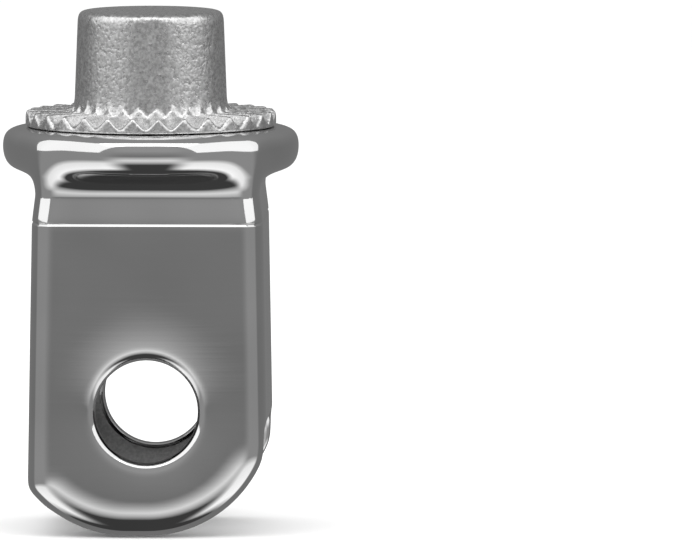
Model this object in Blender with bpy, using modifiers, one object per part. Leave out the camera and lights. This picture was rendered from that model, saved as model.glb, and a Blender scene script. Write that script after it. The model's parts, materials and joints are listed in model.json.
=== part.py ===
"""Splined clevis mount: a hollow clevis body with a round collar, and a toothed spigot clamped on top.

The spigot's square shank sits in a square socket in the body, so it can't turn. A socket screw with a lock
washer holds it down from inside the hollow, in a blind hole in the spigot. Z is up, the pivot bore runs
along Y, and the shorter web of the body faces +X. The origin is under the middle of the body, level with
the lowest point of the ears.
"""

import math

import bmesh
import bpy
from mathutils import Matrix, Vector

MM = 0.001
GAP = 0.3 * MM  # between pieces that bear on each other
PAST = 30 * MM  # how far a cutter runs past what it cuts
WELD = 0.001 * MM  # points nearer than this are one point

# The body's square column
BODY_HALF_LOW = 12.6 * MM  # half its width at the ears' lowest point
BODY_HALF_SHOULDER = 12.05 * MM
WAIST_HALF = 11.7 * MM
BODY_EDGE_R = 1.9 * MM
WAIST_EDGE_R = 2.2 * MM
SHOULDER_Z = 32.7 * MM
WAIST_Z = 35.5 * MM
COLUMN_MERGE_Z = 40.0 * MM  # where the corner columns have sunk into the collar
MERGED_EDGE_R = 6.0 * MM

# The collar
COLLAR_R = 15.5 * MM
COLLAR_TOP_Z = 42.05 * MM
COVE_R = 1.5 * MM  # the hollow curve from the waist to the collar's underside
LIP_R = 2.3 * MM  # the collar's lower edge
RIM_EDGE_R = 1.4 * MM  # its upper edge

# The ears, webs and hollow
CAVITY_HALF = 9.8 * MM
CAVITY_ROOF_Z = 31.5 * MM
CAVITY_EDGE_R = 1.0 * MM
PIVOT_R = 5.3 * MM
EAR_R = 13.1 * MM  # the ears end in an arc about the bore
EAR_HEEL_SHIFT = 2.0 * MM  # towards the long web that arc is set back from the bore by this much
PIVOT_Z = EAR_R
SHORT_WEB_END_Z = 11.3 * MM
WINDOW_CORNER_R = 1.5 * MM

# The toothed spigot
RING_Z = COLLAR_TOP_Z + GAP
RING_T = 1.5 * MM
RING_R = 13.1 * MM
TOOTH_COUNT = 30
TOOTH_DEPTH = 1.1 * MM
GROOVE_END_R = 14.4 * MM  # the grooves run out past the ring
SPIGOT_FOOT_Z = RING_Z + RING_T
SPIGOT_TOP_Z = 54.2 * MM
SPIGOT_BASE_R = 8.0 * MM
SPIGOT_TOP_R = 7.6 * MM
SPIGOT_EDGE_R = 0.8 * MM
SPIGOT_EDGE_END = 4  # degrees, where the rounded top edge meets the tapered side
SHANK_HALF = 6.2 * MM
SHANK_END_Z = 36.0 * MM
SPIGOT_BORE_R = 4.3 * MM
SPIGOT_BORE_END_Z = 47.5 * MM

# The screw and its washer
SCREW_R = SPIGOT_BORE_R - GAP
SCREW_EDGE = 0.5 * MM
SCREW_HEAD_R = 6.5 * MM
SCREW_HEAD_T = 8.0 * MM
SCREW_TIP_Z = 45.0 * MM
SOCKET_FLAT_HALF = 3.0 * MM
SOCKET_DEPTH = 4.0 * MM
WASHER_R = 7.0 * MM
WASHER_T = 2.0 * MM
WASHER_CUT = 1.2 * MM
WASHER_CUT_TILT = 30

WASHER_Z = CAVITY_ROOF_Z - GAP - WASHER_T
SCREW_SEAT_Z = WASHER_Z - GAP

STEPS = 60  # facets round a large turned piece, two for each tooth
PIVOT_STEPS = 40
SMALL_STEPS = 32
EAR_STEPS = 16  # along each quarter circle of the ears' ends
EDGE_STEPS = 4  # along a small rounded edge
LIP_STEPS = 6
BLANK_FOOT_Z = -1.0 * MM  # the body is made this much too long, and the ears' ends are then cut
BOX_EDGE_STEPS = 3
HEX_SIDES = 6
SHARP_DEGREES = 30  # edges sharper than this stay crisp
QUARTER_DEGREES = (0, 12, 24, 33, 39, 42, 45, 48, 51, 57, 66, 78)  # closer together round a corner column


def clear_scene():
    for old in list(bpy.data.objects):
        bpy.data.objects.remove(old)


def new_collection(name):
    made = bpy.data.collections.new(name)
    bpy.context.scene.collection.children.link(made)
    return made


def new_object(name, mesh, collection):
    made = bpy.data.objects.new(name, mesh)
    collection.objects.link(made)
    return made


def mesh_of(name, bm):
    """The mesh of bm, with its faces pointing out."""
    bmesh.ops.recalc_face_normals(bm, faces=bm.faces)
    mesh = bpy.data.meshes.new(name)
    bm.to_mesh(mesh)
    bm.free()
    return mesh


def as_cutter(name, bm):
    cutter = new_object(name, mesh_of(name, bm), cutters)
    cutter.hide_render = True
    cutter.display_type = "WIRE"
    return cutter


def boolean(target, tool, operation="DIFFERENCE"):
    modifier = target.modifiers.new(tool.name, "BOOLEAN")
    modifier.operation = operation
    modifier.object = tool


def box_tool(name, low, high, edge_r=0):
    """A box between two corners, with its upright edges rounded where edge_r is given."""
    low, high = Vector(low), Vector(high)
    bm = bmesh.new()
    bmesh.ops.create_cube(bm, size=1)
    bmesh.ops.scale(bm, vec=high - low, verts=bm.verts)
    bmesh.ops.translate(bm, vec=(high + low) / 2, verts=bm.verts)
    if edge_r:
        upright = [e for e in bm.edges if abs(e.verts[0].co.z - e.verts[1].co.z) > edge_r]
        bmesh.ops.bevel(
            bm, geom=upright, offset=edge_r, segments=BOX_EDGE_STEPS, profile=0.5, affect="EDGES"
        )
    return as_cutter(name, bm)


def cylinder_tool(name, radius, low, high, steps=SMALL_STEPS, matrix=None):
    """A cylinder from low to high along Z, then turned by the matrix."""
    bm = bmesh.new()
    bmesh.ops.create_cone(
        bm, cap_ends=True, segments=steps, radius1=radius, radius2=radius, depth=high - low
    )
    bmesh.ops.translate(bm, vec=(0, 0, (high + low) / 2), verts=bm.verts)
    if matrix:
        bmesh.ops.transform(bm, matrix=matrix, verts=bm.verts)
    return as_cutter(name, bm)


def along_y(z):
    """Lays something that runs along Z along Y, at this height."""
    return Matrix.Translation((0, 0, z)) @ Matrix.Rotation(math.radians(90), 4, "X")


def arc(centre, radius, start_deg, end_deg, steps):
    """Points of an arc, both ends included."""
    points = []
    for i in range(steps + 1):
        angle = math.radians(start_deg + (end_deg - start_deg) * i / steps)
        points.append((centre[0] + radius * math.cos(angle), centre[1] + radius * math.sin(angle)))
    return points


def turned(name, profile, steps):
    """A solid turned about Z. The (radius, z) points run from its top, down its outer side, to its foot."""
    mesh = bpy.data.meshes.new(name)
    verts = [(radius, 0, z) for radius, z in profile]
    mesh.from_pydata(verts, [(i, i + 1) for i in range(len(verts) - 1)], [])
    made = new_object(name, mesh, parts)
    screw = made.modifiers.new("turn", "SCREW")
    screw.axis = "Z"
    screw.steps = steps
    screw.render_steps = steps
    screw.use_merge_vertices = True
    screw.merge_threshold = WELD
    return made


def square_radius(degrees, half, edge_r):
    """How far out a square with rounded corners reaches in one direction."""
    off_axis = math.radians(min(degrees % 90, 90 - degrees % 90))
    flat = half - edge_r
    if half * math.tan(off_axis) <= flat:
        return half / math.cos(off_axis)
    corner = flat * math.sqrt(2)
    off_corner = math.radians(45) - off_axis
    across = corner * math.sin(off_corner)
    return corner * math.cos(off_corner) + math.sqrt(edge_r**2 - across**2)


def column_size(z):
    """The half width and corner radius of the square column at a height."""
    if z <= SHOULDER_Z:
        half = BODY_HALF_LOW + (BODY_HALF_SHOULDER - BODY_HALF_LOW) * z / SHOULDER_Z
        return half, BODY_EDGE_R
    if z <= WAIST_Z:
        part = (z - SHOULDER_Z) / (WAIST_Z - SHOULDER_Z)
        half = BODY_HALF_SHOULDER + (WAIST_HALF - BODY_HALF_SHOULDER) * part
        return half, BODY_EDGE_R + (WAIST_EDGE_R - BODY_EDGE_R) * part
    part = min(1, (z - WAIST_Z) / (COLUMN_MERGE_Z - WAIST_Z))
    return WAIST_HALF, WAIST_EDGE_R + (MERGED_EDGE_R - WAIST_EDGE_R) * part


def collar_outline():
    """(radius, z) up the collar's side: the cove, the lip and the rim's top edge."""
    underside_z = WAIST_Z + COVE_R
    cove = arc((WAIST_HALF + COVE_R, WAIST_Z), COVE_R, 180, 90, EDGE_STEPS)
    lip = arc((COLLAR_R - LIP_R, underside_z + LIP_R), LIP_R, -75, 0, LIP_STEPS)
    top = arc((COLLAR_R - RIM_EDGE_R, COLLAR_TOP_Z - RIM_EDGE_R), RIM_EDGE_R, 0, 90, EDGE_STEPS)
    return cove + lip + top


def body_levels():
    """(z, radius of the collar there) for each section of the body, from the bottom up."""
    return [(BLANK_FOOT_Z, 0), (SHOULDER_Z, 0)] + [(z, radius) for radius, z in collar_outline()]


def make_body_blank():
    """The square column that becomes a round collar, as one loft."""
    bm = bmesh.new()
    directions = [quarter * 90 + d for quarter in range(4) for d in QUARTER_DEGREES]
    sections = []
    for z, collar_r in body_levels():
        half, edge_r = column_size(z)
        section = []
        for degrees in directions:
            radius = max(collar_r, square_radius(degrees, half, edge_r))
            angle = math.radians(degrees)
            section.append(bm.verts.new((radius * math.cos(angle), radius * math.sin(angle), z)))
        sections.append(section)
    count = len(directions)
    for lower, upper in zip(sections, sections[1:]):
        for i in range(count):
            j = (i + 1) % count
            bm.faces.new((lower[i], lower[j], upper[j], upper[i]))
    bm.faces.new(list(reversed(sections[0])))
    bm.faces.new(sections[-1])
    return new_object("clevis_body", mesh_of("clevis_body", bm), parts)


def slab_tool(name, outline, half_thickness, matrix):
    """A flat outline with a thickness, turned by the matrix. It is made a mesh, because a curve can't cut."""
    curve = bpy.data.curves.new(name + "_outline", "CURVE")
    curve.dimensions = "2D"
    curve.fill_mode = "BOTH"
    curve.extrude = half_thickness
    spline = curve.splines.new("POLY")
    spline.points.add(len(outline) - 1)
    for point, (across, up) in zip(spline.points, outline):
        point.co = (across, up, 0, 1)
    spline.use_cyclic_u = True
    flat = new_object(name + "_outline", curve, cutters)
    flat.matrix_world = matrix
    bpy.context.view_layer.update()
    evaluated = flat.evaluated_get(bpy.context.evaluated_depsgraph_get())
    loose = bpy.data.meshes.new_from_object(evaluated)
    bm = bmesh.new()
    bm.from_mesh(loose)
    bmesh.ops.remove_doubles(bm, verts=bm.verts, dist=WELD)
    tool = as_cutter(name, bm)
    tool.matrix_world = flat.matrix_world
    bpy.data.objects.remove(flat)
    bpy.data.meshes.remove(loose)
    return tool


def ear_end_tool():
    """A slab along Y whose underside is the curve that the ears end in."""
    outline = [(PAST, PIVOT_Z), (PAST, 2 * PAST), (-PAST, 2 * PAST), (-PAST, PIVOT_Z)]
    outline += arc((-EAR_HEEL_SHIFT, PIVOT_Z), EAR_R, 180, 270, EAR_STEPS)
    outline += arc((0, PIVOT_Z), EAR_R, 270, 360, EAR_STEPS)
    return slab_tool("ear_end_tool", outline, PAST, along_y(0))


def window_tool():
    """The opening below the short web, with its two upper corners rounded."""
    half = CAVITY_HALF
    r = WINDOW_CORNER_R
    outline = [(-half, -PAST), (half, -PAST)]
    outline += arc((half - r, SHORT_WEB_END_Z - r), r, 0, 90, EDGE_STEPS)
    outline += arc((r - half, SHORT_WEB_END_Z - r), r, 90, 180, EDGE_STEPS)
    through_web = Matrix.Translation((PAST / 2, 0, 0)) @ Matrix.Rotation(math.radians(90), 4, "Z")
    return slab_tool("window_tool", outline, PAST / 2, through_web @ along_y(0))


def make_clevis_body():
    body = make_body_blank()
    boolean(body, ear_end_tool(), "INTERSECT")
    inner = CAVITY_HALF
    boolean(
        body,
        box_tool("cavity_tool", (-inner, -inner, -PAST), (inner, inner, CAVITY_ROOF_Z), CAVITY_EDGE_R),
    )
    boolean(body, window_tool())
    boolean(
        body,
        cylinder_tool("pivot_bore_tool", PIVOT_R, -PAST, PAST, PIVOT_STEPS, along_y(PIVOT_Z)),
    )
    half = SHANK_HALF + GAP
    boolean(
        body,
        box_tool("shank_socket_tool", (-half, -half, SHANK_END_Z - GAP), (half, half, 2 * PAST)),
    )
    boolean(body, cylinder_tool("screw_hole_tool", SPIGOT_BORE_R, 0, 2 * PAST))
    return body


def tooth_groove_tool():
    """One V groove between each two teeth: four-sided cones lying on the ring, widening outwards."""
    inner, outer = SPIGOT_BASE_R, GROOVE_END_R
    slope = TOOTH_DEPTH / RING_R
    bm = bmesh.new()
    for i in range(TOOTH_COUNT):
        groove = bmesh.ops.create_cone(
            bm,
            cap_ends=True,
            segments=4,
            radius1=inner * slope,
            radius2=outer * slope,
            depth=outer - inner,
        )
        lie_down = Matrix.Rotation(math.radians(90), 4, "Y")
        outwards = Matrix.Translation(((outer + inner) / 2, 0, SPIGOT_FOOT_Z))
        around = Matrix.Rotation(2 * math.pi * (i + 0.5) / TOOTH_COUNT, 4, "Z")
        bmesh.ops.transform(bm, matrix=around @ outwards @ lie_down, verts=groove["verts"])
    return as_cutter("tooth_groove_tool", bm)


def make_toothed_spigot():
    """The ring, the tapered spigot and the square shank, in one piece, with a blind hole from below."""
    centre = (SPIGOT_TOP_R - SPIGOT_EDGE_R, SPIGOT_TOP_Z - SPIGOT_EDGE_R)
    edge = arc(centre, SPIGOT_EDGE_R, 90, SPIGOT_EDGE_END, EDGE_STEPS)
    profile = [(0, SPIGOT_TOP_Z)] + edge
    profile += [(SPIGOT_BASE_R, SPIGOT_FOOT_Z), (RING_R, SPIGOT_FOOT_Z), (RING_R, RING_Z), (0, RING_Z)]
    spigot = turned("toothed_spigot", profile, STEPS)
    boolean(spigot, tooth_groove_tool())
    half = SHANK_HALF
    shank = box_tool("shank_tool", (-half, -half, SHANK_END_Z), (half, half, RING_Z + RING_T / 2))
    boolean(spigot, shank, "UNION")
    boolean(spigot, cylinder_tool("spigot_bore_tool", SPIGOT_BORE_R, 0, SPIGOT_BORE_END_Z))
    return spigot


def make_lock_washer():
    """A ring with one slanting cut."""
    top = WASHER_Z + WASHER_T
    profile = [(0, top), (WASHER_R, top), (WASHER_R, WASHER_Z), (0, WASHER_Z)]
    washer = turned("lock_washer", profile, SMALL_STEPS)
    boolean(washer, cylinder_tool("washer_hole_tool", SPIGOT_BORE_R, 0, 2 * PAST))
    cut = box_tool(
        "washer_cut_tool",
        (-WASHER_CUT / 2, 0, -2 * WASHER_T),
        (WASHER_CUT / 2, 2 * WASHER_R, 2 * WASHER_T),
    )
    middle = Matrix.Translation((0, 0, WASHER_Z + WASHER_T / 2))
    cut.matrix_world = middle @ Matrix.Rotation(math.radians(WASHER_CUT_TILT), 4, "Y")
    boolean(washer, cut)
    return washer


def make_clamp_screw():
    """A socket-head screw, head down."""
    head_z = SCREW_SEAT_Z - SCREW_HEAD_T
    profile = [
        (0, SCREW_TIP_Z),
        (SCREW_R - SCREW_EDGE, SCREW_TIP_Z),
        (SCREW_R, SCREW_TIP_Z - SCREW_EDGE),
        (SCREW_R, SCREW_SEAT_Z),
        (SCREW_HEAD_R, SCREW_SEAT_Z),
        (SCREW_HEAD_R, head_z + SCREW_EDGE),
        (SCREW_HEAD_R - SCREW_EDGE, head_z),
        (0, head_z),
    ]
    screw = turned("clamp_screw", profile, SMALL_STEPS)
    corner_r = SOCKET_FLAT_HALF / math.cos(math.pi / 6)
    boolean(screw, cylinder_tool("hex_socket_tool", corner_r, 0, head_z + SOCKET_DEPTH, HEX_SIDES))
    return screw


def finish(obj, name, colour, roughness):
    """Gives a piece its metal, and smooth shading up to its edges."""
    metal = bpy.data.materials.new(name)
    metal.use_nodes = True
    shader = metal.node_tree.nodes["Principled BSDF"]
    shader.inputs["Base Color"].default_value = (*colour, 1)
    shader.inputs["Metallic"].default_value = 1
    shader.inputs["Roughness"].default_value = roughness
    obj.data.materials.append(metal)
    obj.data.shade_smooth()
    obj.data.set_sharp_from_angle(angle=math.radians(SHARP_DEGREES))


clear_scene()
parts = new_collection("splined_clevis_mount")
cutters = new_collection("tools")

finish(make_clevis_body(), "bright_chrome", (0.80, 0.80, 0.80), 0.06)
finish(make_toothed_spigot(), "rough_chrome", (0.62, 0.62, 0.62), 0.38)
finish(make_lock_washer(), "washer_steel", (0.50, 0.50, 0.50), 0.30)
finish(make_clamp_screw(), "screw_steel", (0.45, 0.45, 0.45), 0.30)
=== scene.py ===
"""The looks of the splined clevis mount: finely meshed castings, chrome and rough plated metal, and a studio.

The two castings are modelled as distance fields, where each cut and join can be rounded as a casting's are, and
meshed over a grid whose points are then moved onto the surface. The castings' sizes are in millimetres, and the
studio's in metres.
"""

import json
import math

import bpy
import numpy as np
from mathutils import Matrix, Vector


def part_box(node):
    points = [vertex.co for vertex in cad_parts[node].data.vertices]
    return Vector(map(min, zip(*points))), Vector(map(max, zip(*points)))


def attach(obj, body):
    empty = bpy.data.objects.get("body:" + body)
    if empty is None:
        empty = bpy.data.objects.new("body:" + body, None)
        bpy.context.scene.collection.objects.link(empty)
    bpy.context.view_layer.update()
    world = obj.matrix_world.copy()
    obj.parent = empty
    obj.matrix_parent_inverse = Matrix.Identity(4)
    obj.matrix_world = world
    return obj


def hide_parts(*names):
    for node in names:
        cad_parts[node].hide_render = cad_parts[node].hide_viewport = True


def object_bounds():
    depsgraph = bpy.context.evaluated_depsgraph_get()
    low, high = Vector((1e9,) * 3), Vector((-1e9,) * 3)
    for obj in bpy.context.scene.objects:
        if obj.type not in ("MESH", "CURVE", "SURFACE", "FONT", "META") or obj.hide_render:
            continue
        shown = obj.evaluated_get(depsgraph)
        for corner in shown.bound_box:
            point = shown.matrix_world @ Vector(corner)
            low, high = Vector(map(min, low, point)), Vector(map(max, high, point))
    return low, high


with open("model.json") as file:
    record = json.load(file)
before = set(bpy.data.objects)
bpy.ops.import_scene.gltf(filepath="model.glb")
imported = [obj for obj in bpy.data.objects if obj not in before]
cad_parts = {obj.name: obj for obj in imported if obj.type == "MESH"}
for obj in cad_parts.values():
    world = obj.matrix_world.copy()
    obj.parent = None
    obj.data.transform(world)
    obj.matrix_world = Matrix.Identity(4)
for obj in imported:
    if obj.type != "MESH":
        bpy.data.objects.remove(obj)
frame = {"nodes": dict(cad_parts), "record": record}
cad_box = [list(corner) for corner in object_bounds()]

MM = 0.001


def node_box(name):
    """A CAD node's corners in millimetres."""
    low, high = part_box(name)
    return np.array(low) / MM, np.array(high) / MM


BODY_LOW, BODY_HIGH = node_box("clevis_body")
SPIGOT_LOW, SPIGOT_HIGH = node_box("toothed_spigot")
WASHER_TOP = node_box("lock_washer")[1][2]
OPENINGS = {o["name"]: np.array(o["box_m"]) / MM for o in frame["record"]["physics"]["openings"]}
GAP = 0.3  # between neighbouring CAD pieces

# The body. The HALF_ values are half the column's width at its lower end, at the shoulder and at the waist.
COLLAR_R = BODY_HIGH[0]
COLLAR_TOP = BODY_HIGH[2]
HALF_LOW = 12.6
HALF_SHOULDER = 12.05
HALF_WAIST = 11.7
SHOULDER_Z = 32.7
WAIST_Z = 35.5
COLUMN_TOP = 40.6  # the corner columns have sunk into the collar by here
UNDERSIDE_Z = 37.35  # where the collar's underside would be with a sharp lip
RIM_EDGE_R = 1.4
CAVITY_HALF = 9.8
CAVITY_ROOF = WASHER_TOP + GAP
PIVOT_Z = (OPENINGS["pivot_bore"][0][2] + OPENINGS["pivot_bore"][1][2]) / 2
PIVOT_R = 5.3
EAR_R = PIVOT_Z
HEEL_SHIFT = 2.0  # how far the round end's middle reaches back from the bore, under the long web
END_EASE = 12  # above the bore the round end opens out into the sides, within about this height
WEB_END = 11.3  # the lower edge of the short web
SHANK_SIDE = 6.5  # half the square socket's width
SHANK_FLOOR = SPIGOT_LOW[2] - GAP
BORE_R = 4.3
BORE_END = 47.5

# Rounded edges. A soft edge that looks like radius r has a curve that reaches SOFTEN * r along its faces. The
# _SOFT values are such reaches themselves.
SOFTEN = 2.5
EDGE_R = 1.9
CAVITY_EDGE_R = 1.0
WINDOW_CORNER_R = 1.3
PIVOT_EDGE_R = 0.65
SHOULDER_SOFT = 0.12
COVE_SOFT = 2.6
LIP_SOFT = 4.7
OUTLINE_SOFT = 0.8
COLUMN_TOP_SOFT = 3.0
RIM_SOFT = 1.0
INNER_SOFT = 1.2

# The corner columns are turned down to a radius, which opens out again below a height
CORNER_PROUD = 0.5  # past the collar's own radius
CORNER_OPENS_Z = WAIST_Z + 2
CORNER_OPENING, CORNER_EASE = 0.3, 1

# The broad soft edges draw the outline in, and this much brings it out again
RIM_SWELL = 0.11
END_SWELL = 0.22

# Polishing takes a little off the faces towards their edges: how much at the edge, and how far in it fades
BORE_ROLL, BORE_ROLL_REACH = 0.32, 3.2
END_ROLL, END_ROLL_REACH = 0.30, 3.4
END_ROLL_Z, END_ROLL_FADE = PIVOT_Z + 2, 4  # where half of the end's roll is left, and how softly it fades

# The toothed spigot
SEAM = 0.07  # the seam that shows between ring and collar
RING_LOW = COLLAR_TOP + SEAM
RING_TOP = COLLAR_TOP + GAP + 1.5
RING_R = SPIGOT_HIGH[0]
TOOTH_COUNT = 30
TOOTH_DEPTH = 1.1
INNER_DEPTH = 0.55  # the least share of that depth, towards the spigot
VALLEY_ROUND, VALLEY_FLOOR = 0.06, 0.245  # how round the valleys are, and its square root
CREST_CUT, WAVE_HEIGHT = 0.69, 0.71  # where the wave from valley to crest is cut off, and its height
CREST_DROP = 0.06  # about how far the crests stay under the ring's top
FLANK_SCALE = 0.72  # turns a height above a tooth's steep flank into about the distance from it
RING_EDGE_SOFT = 0.7
RING_FOOT_SOFT = 0.4
SPIGOT_FOOT_SOFT = 1.4
SPIGOT_TOP = SPIGOT_HIGH[2]
SPIGOT_BASE_R = 8.0
SPIGOT_TOP_R = 7.6
SPIGOT_EDGE = 0.6
SPIGOT_START = 0.2  # above the ring's underside, inside the ring
SHANK_OVERLAP = 0.5  # how far the shank reaches up into the ring

# The groove along the shoulder: how far it reaches above and below its bottom, its depth, and the finer rows of
# the grid across it as (from, to, step)
GROOVE_ABOVE, GROOVE_BELOW, GROOVE_DEPTH = 0.1, 0.25, 0.12
GROOVE_ROWS = (SHOULDER_Z - 0.4, SHOULDER_Z + 0.25, 0.05)

BODY_GRID = 0.295
SPIGOT_GRID = 0.2
SURFACE_PASSES = 4  # how often the grid's points are moved towards the surface
NEAR_HOLLOW, NEAR_BORE = 0.1, 0.12  # a face this close to the hollow or the bore has the finish inside them: rough casting, with a darker tone that is painted shade


def soft_max(a, b, reach):
    """The larger of two distances, with the edge between them rounded so that its curvature fades in."""
    near = np.maximum(reach - np.abs(a - b), 0) / reach
    return np.maximum(a, b) + near**3 * reach / 6


def soft_min(a, b, reach):
    """The smaller of two distances, rounded in the same way."""
    return -soft_max(-a, -b, reach)


def eased(distance, ease):
    """Grows slowly at first, and then as fast as the distance does."""
    return distance**2 / (distance + ease)


def column_half(z):
    """Half the column's width: widening down to the ears, grooved at the shoulder and drawn in above it."""
    lower = HALF_LOW + (HALF_SHOULDER - HALF_LOW) * z / SHOULDER_Z
    upper = HALF_SHOULDER + (HALF_WAIST - HALF_SHOULDER) * (z - SHOULDER_Z) / (WAIST_Z - SHOULDER_Z)
    up = z - SHOULDER_Z
    groove = np.maximum(np.minimum(1 - up / GROOVE_ABOVE, 1 + up / GROOVE_BELOW), 0)
    return soft_min(lower, np.maximum(upper, HALF_WAIST), SHOULDER_SOFT) - GROOVE_DEPTH * groove


def collar_field(rho, z):
    """A round flange with a bulging rim."""
    rim = soft_max(rho - COLLAR_R - RIM_SWELL, z - COLLAR_TOP, SOFTEN * RIM_EDGE_R)
    return soft_max(rim, UNDERSIDE_Z - z, LIP_SOFT)


def polished_away(to_bore, to_end, z):
    """How much lower an ear's face lies round the bore and along its lower end, where polishing rolls it."""
    near_end = 1 / (1 + np.exp((z - END_ROLL_Z) / END_ROLL_FADE))
    round_bore = BORE_ROLL * np.exp(-np.maximum(to_bore, 0) / BORE_ROLL_REACH)
    return round_bore + END_ROLL * near_end * np.exp(np.minimum(to_end, 0) / END_ROLL_REACH)


def body_field(x, y, z):
    """The clevis body: a column with round ears, run up into a collar, and its hollow, window, bore and socket."""
    rho = np.hypot(x, y)
    half = column_half(z)
    to_bore = np.hypot(x, z - PIVOT_Z) - PIVOT_R
    from_heel = x - np.clip(x, -HEEL_SHIFT, 0)
    to_end = np.hypot(np.maximum(PIVOT_Z - z, 0), from_heel) - EAR_R - END_SWELL
    to_end = to_end - eased(np.maximum(z - PIVOT_Z, 0), END_EASE)
    outline = soft_max(np.abs(x) - half, to_end, OUTLINE_SOFT)
    ear_face = np.abs(y) - half + polished_away(to_bore, to_end, z)
    column = soft_max(outline, ear_face, SOFTEN * EDGE_R)
    column = soft_max(column, z - COLUMN_TOP, COLUMN_TOP_SOFT)
    solid = soft_min(column, collar_field(rho, z), COVE_SOFT)
    opening = CORNER_OPENING * eased(np.maximum(CORNER_OPENS_Z - z, 0), CORNER_EASE)
    solid = soft_max(solid, rho - (COLLAR_R + CORNER_PROUD + opening), RIM_SOFT)
    cavity = soft_max(np.abs(x) - CAVITY_HALF, np.abs(y) - CAVITY_HALF, SOFTEN * CAVITY_EDGE_R)
    cavity = soft_max(cavity, z - CAVITY_ROOF, INNER_SOFT)
    window = soft_max(np.maximum(np.abs(y) - CAVITY_HALF, -x), z - WEB_END, SOFTEN * WINDOW_CORNER_R)
    solid = soft_max(solid, -np.minimum(cavity, window), INNER_SOFT)
    solid = soft_max(solid, -to_bore, SOFTEN * PIVOT_EDGE_R)
    socket = np.maximum(np.maximum(np.abs(x), np.abs(y)) - SHANK_SIDE, SHANK_FLOOR - z)
    return np.maximum(np.maximum(solid, -socket), BORE_R - rho)


def tooth_surface(x, y, rho):
    """The height of the ring's upper face: round valleys and blunt crests, less deep towards the spigot."""
    turn = np.arctan2(y, x) * TOOTH_COUNT / (2 * math.pi)
    from_valley = 2 * np.abs(turn - np.round(turn - 0.5) - 0.5)  # 0 in a valley, 1 on a crest
    wave = np.sqrt(from_valley**2 + VALLEY_ROUND) - VALLEY_FLOOR
    depth = TOOTH_DEPTH * np.clip(rho / RING_R, INNER_DEPTH, 1)
    return RING_TOP - CREST_DROP - depth * (1 - np.minimum(wave, CREST_CUT) / WAVE_HEIGHT)


def spigot_field(x, y, z):
    """The toothed spigot: a ring of radial teeth, a tapered spigot, a square shank and a blind hole below."""
    rho = np.hypot(x, y)
    ring = soft_max(rho - RING_R, (z - tooth_surface(x, y, rho)) * FLANK_SCALE, RING_EDGE_SOFT)
    ring = soft_max(ring, RING_LOW - z, RING_FOOT_SOFT)
    slope = (SPIGOT_BASE_R - SPIGOT_TOP_R) / (SPIGOT_TOP - RING_TOP)
    side = rho - SPIGOT_BASE_R + slope * (z - RING_TOP)
    cone = soft_max(side, z - SPIGOT_TOP, SOFTEN * SPIGOT_EDGE)
    cone = np.maximum(cone, RING_LOW + SPIGOT_START - z)
    solid = soft_min(ring, cone, SPIGOT_FOOT_SOFT)
    shank_side = np.maximum(np.abs(x), np.abs(y)) - SHANK_SIDE + GAP
    shank_ends = np.maximum(SPIGOT_LOW[2] - z, z - RING_LOW - SHANK_OVERLAP)
    solid = np.minimum(solid, np.maximum(shank_side, shank_ends))
    return np.maximum(solid, np.minimum(BORE_R - rho, BORE_END - z))


def field_slope(field, points, step=0.01):
    """The field's gradient at points, from differences."""
    slopes = []
    for axis in range(3):
        ahead = points.copy()
        behind = points.copy()
        ahead[:, axis] += step
        behind[:, axis] -= step
        slopes.append((field(*ahead.T) - field(*behind.T)) / (2 * step))
    return np.stack(slopes, axis=1)


def grid_axes(low, high, grid, fine):
    """The grid's rows along X, Y and Z, a little past the box. fine is (from, to, step) of closer ones in Z."""
    axes = [np.arange(lo - 2 * grid, hi + 3 * grid, grid) for lo, hi in zip(low, high)]
    start, end, _ = fine
    axes[2] = np.concatenate([axes[2][axes[2] < start], np.arange(*fine), axes[2][axes[2] >= end]])
    return axes


def close_diagonals(values):
    """Fills in grid points where solid ones touch only across a diagonal of a grid face. Left as they are,
    two sheets of the surface would share an edge there."""
    just_inside = -1e-6
    for _ in range(8):
        left = False
        for u, v in ((0, 1), (1, 2), (0, 2)):
            views = []
            for du, dv in ((0, 0), (1, 0), (0, 1), (1, 1)):
                span = [slice(None)] * 3
                span[u] = slice(du, values.shape[u] - 1 + du)
                span[v] = slice(dv, values.shape[v] - 1 + dv)
                views.append(values[tuple(span)])
            a, b, c, d = [view < 0 for view in views]
            crossed = (a == d) & (b == c) & (a != b)
            for view in views:
                view[crossed & (view >= 0)] = just_inside
            left = left or crossed.any()
        if not left:
            return


def cell_points(values, axes):
    """A point in each grid cell that the surface crosses, amid its crossings of the cell's edges, and for each
    cell the number of its point."""
    counts = np.array(values.shape) - 1
    total = np.zeros(tuple(counts) + (3,))
    crossings = np.zeros(tuple(counts))
    for axis in range(3):
        others = [a for a in range(3) if a != axis]
        for first in (0, 1):
            for second in (0, 1):
                offset = [0, 0, 0]
                offset[others[0]] = first
                offset[others[1]] = second
                end = list(offset)
                end[axis] = 1
                here = tuple(slice(o, o + c) for o, c in zip(offset, counts))
                there = tuple(slice(o, o + c) for o, c in zip(end, counts))
                a, b = values[here], values[there]
                crossed = (a < 0) != (b < 0)
                share = np.where(crossed, a / np.where(crossed, a - b, 1), 0)
                point = np.array(offset, float) + np.zeros(a.shape + (3,))
                point[..., axis] += share
                total += np.where(crossed[..., None], point, 0)
                crossings += crossed
    used = crossings > 0
    index = np.full(used.shape, -1)
    index[used] = np.arange(used.sum())
    corner = np.stack(np.meshgrid(*[np.arange(c) for c in counts], indexing="ij"), axis=-1)
    points = corner[used] + total[used] / crossings[used][:, None]
    places = [np.interp(p, np.arange(len(a)), a) for p, a in zip(points.T, axes)]
    return np.stack(places, axis=1), index


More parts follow.
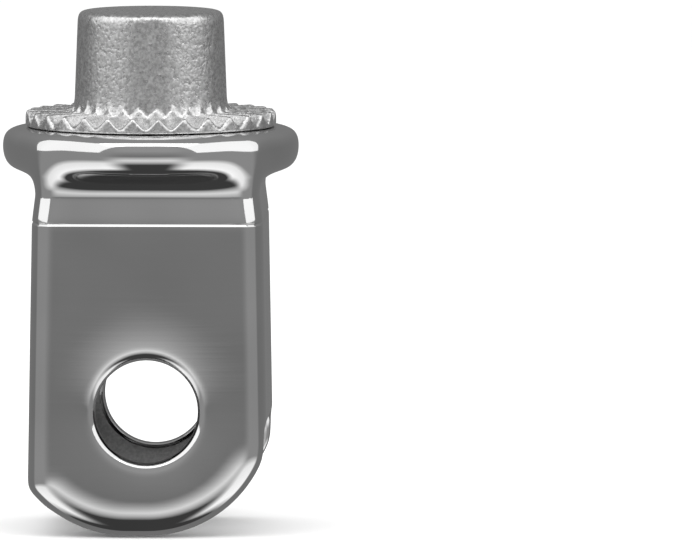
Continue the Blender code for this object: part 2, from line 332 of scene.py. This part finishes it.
def onto_surface(field, points, grid):
    """Moves points to where the field is zero, along its slope, each pass by less than half a cell."""
    for _ in range(SURFACE_PASSES):
        slope = field_slope(field, points)
        squared = np.maximum((slope**2).sum(1), 0.2)
        step = (field(*points.T) / squared)[:, None] * slope
        points = points - np.clip(step, -0.4 * grid, 0.4 * grid)
    return points


def cell_quads(inside, index):
    """A quad round each grid edge that passes through the surface, joining the points of its four cells."""
    counts = index.shape
    quads = []
    for axis in range(3):
        u, v = [a for a in range(3) if a != axis]
        span = [slice(1, c) for c in counts]
        span[axis] = slice(0, counts[axis])
        ahead = list(span)
        ahead[axis] = slice(1, counts[axis] + 1)
        a, b = inside[tuple(span)], inside[tuple(ahead)]
        for leaving in (True, False):
            where = np.argwhere((a & ~b) if leaving else (~a & b))
            where = where + np.array([0 if k == axis else 1 for k in range(3)])
            ring = []
            for du, dv in ((1, 1), (0, 1), (0, 0), (1, 0)):
                cell = where.copy()
                cell[:, u] -= du
                cell[:, v] -= dv
                ring.append(index[cell[:, 0], cell[:, 1], cell[:, 2]])
            quad = np.stack(ring, axis=1)
            swap = leaving == (axis == 1)
            quads.append(quad[:, ::-1] if swap else quad)
    return np.concatenate(quads)


def mesh_field(name, field, low, high, grid, fine=(0, 0, 1)):
    """A mesh of the surface where the field is zero, smooth-shaded by the field's own slope. fine is
    (from, to, step) along Z, where the surface has narrow detail."""
    axes = grid_axes(low, high, grid, fine)
    x, y, z = np.meshgrid(*axes, indexing="ij")
    values = field(x.ravel(), y.ravel(), z.ravel()).reshape(x.shape)
    close_diagonals(values)
    points, index = cell_points(values, axes)
    points = onto_surface(field, points, grid)
    mesh = bpy.data.meshes.new(name)
    mesh.from_pydata((points * MM).tolist(), [], cell_quads(values < 0, index).tolist())
    mesh.shade_smooth()
    slope = field_slope(field, points)
    slope /= np.maximum(np.linalg.norm(slope, axis=1), 1e-9)[:, None]
    mesh.normals_split_custom_set_from_vertices(slope.tolist())
    made = bpy.data.objects.new(name, mesh)
    bpy.context.scene.collection.objects.link(made)
    return made


def new_material(name):
    """A material, its nodes and links, and its shader."""
    made = bpy.data.materials.new(name)
    made.use_nodes = True
    nodes = made.node_tree.nodes
    return made, nodes, made.node_tree.links, nodes["Principled BSDF"]


def maths(nodes, links, operation, *inputs):
    """A Math node on sockets or numbers."""
    made = nodes.new("ShaderNodeMath")
    made.operation = operation
    for socket, value in zip(made.inputs, inputs):
        if isinstance(value, (int, float)):
            socket.default_value = value
        else:
            links.new(value, socket)
    return made.outputs["Value"]


def noise(nodes, links, scale, detail, stretch=(1, 1, 1)):
    """A noise texture over the object's own coordinates, stretched along an axis where asked."""
    where = nodes.new("ShaderNodeTexCoord")
    mapping = nodes.new("ShaderNodeMapping")
    mapping.inputs["Scale"].default_value = stretch
    texture = nodes.new("ShaderNodeTexNoise")
    texture.inputs["Scale"].default_value = scale
    texture.inputs["Detail"].default_value = detail
    links.new(where.outputs["Object"], mapping.inputs["Vector"])
    links.new(mapping.outputs["Vector"], texture.inputs["Vector"])
    return texture.outputs["Fac"]


def spread(nodes, links, source, low, high):
    """Maps a noise's middle range to low..high."""
    mapped = nodes.new("ShaderNodeMapRange")
    mapped.inputs["From Min"].default_value = 0.3
    mapped.inputs["From Max"].default_value = 0.7
    mapped.inputs["To Min"].default_value = low
    mapped.inputs["To Max"].default_value = high
    links.new(source, mapped.inputs["Value"])
    return mapped.outputs["Result"]


def bump(nodes, links, source, height, normal=None):
    """Relief of a height in metres, on top of another where asked."""
    made = nodes.new("ShaderNodeBump")
    made.inputs["Strength"].default_value = 1
    made.inputs["Distance"].default_value = height
    links.new(source, made.inputs["Height"])
    if normal:
        links.new(normal, made.inputs["Normal"])
    return made.outputs["Normal"]


def tint(nodes, links, source, dark, light):
    """Greys between dark and light, by a noise."""
    ramp = nodes.new("ShaderNodeValToRGB")
    ramp.color_ramp.elements[0].position = 0.35
    ramp.color_ramp.elements[0].color = (dark, dark, dark, 1)
    ramp.color_ramp.elements[1].position = 0.65
    ramp.color_ramp.elements[1].color = (light, light, light, 1)
    links.new(source, ramp.inputs["Fac"])
    return ramp.outputs["Color"]


def bright_chrome():
    """Polished plating: a slow ripple from the polishing wheel and fine scratches across the faces."""
    made, nodes, links, shader = new_material("bright_chrome")
    shader.inputs["Metallic"].default_value = 1
    links.new(tint(nodes, links, noise(nodes, links, 90, 2), 0.74, 0.80), shader.inputs["Base Color"])
    lines = noise(nodes, links, 2200, 3, (0.03, 0.03, 1))
    links.new(spread(nodes, links, lines, 0.05, 0.08), shader.inputs["Roughness"])
    ripple = bump(nodes, links, noise(nodes, links, 90, 1), 0.000012)
    links.new(bump(nodes, links, lines, 0.0000012, ripple), shader.inputs["Normal"])
    return made


def rough_plating(name, dark, light, low, high, height):
    """Plating over an unpolished casting: grainy, with pits and brighter high spots."""
    made, nodes, links, shader = new_material(name)
    shader.inputs["Metallic"].default_value = 1
    grain = noise(nodes, links, 3600, 4)
    lumps = noise(nodes, links, 1900, 3)
    links.new(tint(nodes, links, grain, dark, light), shader.inputs["Base Color"])
    links.new(spread(nodes, links, lumps, low, high), shader.inputs["Roughness"])
    coarse = bump(nodes, links, lumps, height)
    links.new(bump(nodes, links, grain, height * 0.3, coarse), shader.inputs["Normal"])
    return made


FLOOR_HALF = 3
FLOOR_DROP = 0.0001


def lay_floor():
    """A pale matt floor, which doesn't show in the metal."""
    material, nodes, links, shader = new_material("studio_floor")
    links.new(tint(nodes, links, noise(nodes, links, 6, 2), 0.86, 0.88), shader.inputs["Base Color"])
    shader.inputs["Roughness"].default_value = 0.7
    shader.inputs["Specular IOR Level"].default_value = 0
    mesh = bpy.data.meshes.new("studio_floor")
    level = cad_box[0][2] - FLOOR_DROP
    corners = [(x * FLOOR_HALF, y * FLOOR_HALF, level) for x, y in ((-1, -1), (1, -1), (1, 1), (-1, 1))]
    mesh.from_pydata(corners, [], [(0, 1, 2, 3)])
    mesh.materials.append(material)
    floor = bpy.data.objects.new("studio_floor", mesh)
    bpy.context.scene.collection.objects.link(floor)
    floor.visible_glossy = False


LIGHTS_AIM = Vector((0, 0, 0.03))


def softbox(name, place, width, height, brightness):
    """A rectangular light that faces the part. Its brightness is what the metal sees."""
    data = bpy.data.lights.new(name, "AREA")
    data.shape = "RECTANGLE"
    data.size = width
    data.size_y = height
    data.energy = brightness * math.pi * width * height
    light = bpy.data.objects.new(name, data)
    bpy.context.scene.collection.objects.link(light)
    light.location = place
    light.rotation_euler = (LIGHTS_AIM - light.location).to_track_quat("-Z", "Y").to_euler()
    light.visible_camera = False


def panel(nodes, links, height, stops):
    """How bright one part of the room is at each elevation. stops are (degrees, brightness)."""
    ramp = nodes.new("ShaderNodeValToRGB")
    elements = ramp.color_ramp.elements
    while len(elements) < len(stops):
        elements.new(0.5)
    for element, (degrees, value) in zip(elements, stops):
        element.position = (degrees + 90) / 180
        element.color = (value, value, value, 1)
    links.new(height, ramp.inputs["Fac"])
    return ramp.outputs["Color"]


def beyond(nodes, links, azimuth, start, end, inner, outer):
    """One panel up to start degrees from the front, another past end degrees, and a soft join between."""
    mapped = nodes.new("ShaderNodeMapRange")
    mapped.interpolation_type = "SMOOTHSTEP"
    mapped.inputs["From Min"].default_value = math.radians(start)
    mapped.inputs["From Max"].default_value = math.radians(end)
    links.new(azimuth, mapped.inputs["Value"])
    mix = nodes.new("ShaderNodeMix")
    mix.data_type = "RGBA"
    colours = [socket for socket in mix.inputs if socket.type == "RGBA"]
    links.new(mapped.outputs["Result"], mix.inputs["Factor"])
    links.new(inner, colours[0])
    links.new(outer, colours[1])
    return next(socket for socket in mix.outputs if socket.type == "RGBA")


# The room's brightness at each elevation, seen from the part: (degrees, brightness)
FRONT = ((-32, 0.05), (-17, 0.85), (-5, 0.19), (14, 0.34))
SIDES = ((-62, 0.05), (-48, 1.2), (-26, 1.0), (-16, 0.30))
BEHIND = ((0, 0.19), (60, 0.30))

# Where one part of the room gives way to the next: from and to, in degrees of azimuth from the front
FRONT_TO_SIDES = (16, 40)
SIDES_TO_BEHIND = (84, 100)

PLAIN_WHITE = 1.2  # what the camera and the floor have round them instead


def light_studio():
    """A grey room with a softbox at each side and one high in front. The room shows only in the metal: the
    camera and the floor have plain white round them."""
    bpy.context.scene.view_settings.view_transform = "Standard"
    world = bpy.data.worlds.new("studio")
    bpy.context.scene.world = world
    world.use_nodes = True
    nodes, links = world.node_tree.nodes, world.node_tree.links
    direction = nodes.new("ShaderNodeSeparateXYZ")
    links.new(nodes.new("ShaderNodeTexCoord").outputs["Generated"], direction.inputs["Vector"])
    x, y, z = (direction.outputs[axis] for axis in "XYZ")
    height = maths(nodes, links, "MULTIPLY_ADD", maths(nodes, links, "ARCSINE", z), 1 / math.pi, 0.5)
    across = maths(nodes, links, "ABSOLUTE", x)
    azimuth = maths(nodes, links, "ARCTAN2", across, maths(nodes, links, "MULTIPLY", y, -1))
    front, sides, behind = (panel(nodes, links, height, stops) for stops in (FRONT, SIDES, BEHIND))
    seen = beyond(nodes, links, azimuth, *FRONT_TO_SIDES, front, sides)
    seen = beyond(nodes, links, azimuth, *SIDES_TO_BEHIND, seen, behind)
    room = nodes["Background"]
    links.new(seen, room.inputs["Color"])
    white = nodes.new("ShaderNodeBackground")
    white.inputs["Color"].default_value = (1, 1, 1, 1)
    white.inputs["Strength"].default_value = PLAIN_WHITE
    path = nodes.new("ShaderNodeLightPath")
    plain = maths(nodes, links, "MAXIMUM", path.outputs["Is Camera Ray"], path.outputs["Is Diffuse Ray"])
    mix = nodes.new("ShaderNodeMixShader")
    links.new(plain, mix.inputs["Fac"])
    links.new(room.outputs["Background"], mix.inputs[1])
    links.new(white.outputs["Background"], mix.inputs[2])
    links.new(mix.outputs["Shader"], nodes["World Output"].inputs["Surface"])
    softbox("top", (0, -0.25, 0.43), 0.5, 0.26, 1.3)
    softbox("left", (-0.44, -0.18, 0.33), 0.7, 0.52, 0.9)
    softbox("right", (0.44, -0.18, 0.33), 0.7, 0.52, 0.9)


def place_camera():
    """A long lens a little above and to the right of the ear face, aimed so that the part is at the left."""
    azimuth, elevation, distance = math.radians(2.5), math.radians(4.9), 1.6
    frame_width = 0.0724
    part_left, part_up = 0.0204, 0.00065
    middle = Vector((0, 0, 0.0275))
    away = Vector((
        math.sin(azimuth) * math.cos(elevation),
        -math.cos(azimuth) * math.cos(elevation),
        math.sin(elevation),
    ))
    data = bpy.data.cameras.new("camera")
    data.sensor_width = 36
    data.lens = data.sensor_width * distance / frame_width
    camera = bpy.data.objects.new("camera", data)
    bpy.context.scene.collection.objects.link(camera)
    camera.location = middle + away * distance
    aim = middle + Vector((math.cos(azimuth), math.sin(azimuth), 0)) * part_left - Vector((0, 0, part_up))
    camera.rotation_euler = (aim - camera.location).to_track_quat("-Z", "Y").to_euler()
    bpy.context.scene.camera = camera


def dress(node, material):
    """Gives a CAD node that stays a material of its own."""
    data = frame["nodes"][node].data
    data.materials.clear()
    data.materials.append(material)


place_camera()
lay_floor()
light_studio()

chrome = bright_chrome()
cast = rough_plating("rough_chrome", 0.60, 0.90, 0.22, 0.42, 0.00007)
# The inside of the hollow and the bore: a rough unpolished finish, plus a darker base colour that is painted shade
# in these recesses
inner_cast_painted_shade = rough_plating("cast_inside_painted_shade", 0.42, 0.54, 0.38, 0.50, 0.00004)

body = mesh_field("clevis_casting", body_field, BODY_LOW, BODY_HIGH, BODY_GRID, GROOVE_ROWS)
body.data.materials.append(chrome)
body.data.materials.append(inner_cast_painted_shade)
# Faces in the hollow and the bore take the darker inner material, which paints shade into them
for face in body.data.polygons:
    x, y, z = face.center / MM
    in_hollow = max(abs(x), abs(y)) < CAVITY_HALF + NEAR_HOLLOW and z < CAVITY_ROOF + NEAR_HOLLOW
    in_bore = math.hypot(x, z - PIVOT_Z) < PIVOT_R + NEAR_BORE
    face.material_index = 1 if in_hollow or in_bore else 0
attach(body, "root")
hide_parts("clevis_body")

spigot = mesh_field("spigot_casting", spigot_field, SPIGOT_LOW, SPIGOT_HIGH, SPIGOT_GRID)
spigot.data.materials.append(cast)
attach(spigot, "root")
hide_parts("toothed_spigot")

dress("lock_washer", rough_plating("washer_steel", 0.45, 0.55, 0.25, 0.35, 0.00001))
dress("clamp_screw", rough_plating("screw_steel", 0.40, 0.50, 0.25, 0.35, 0.00001))
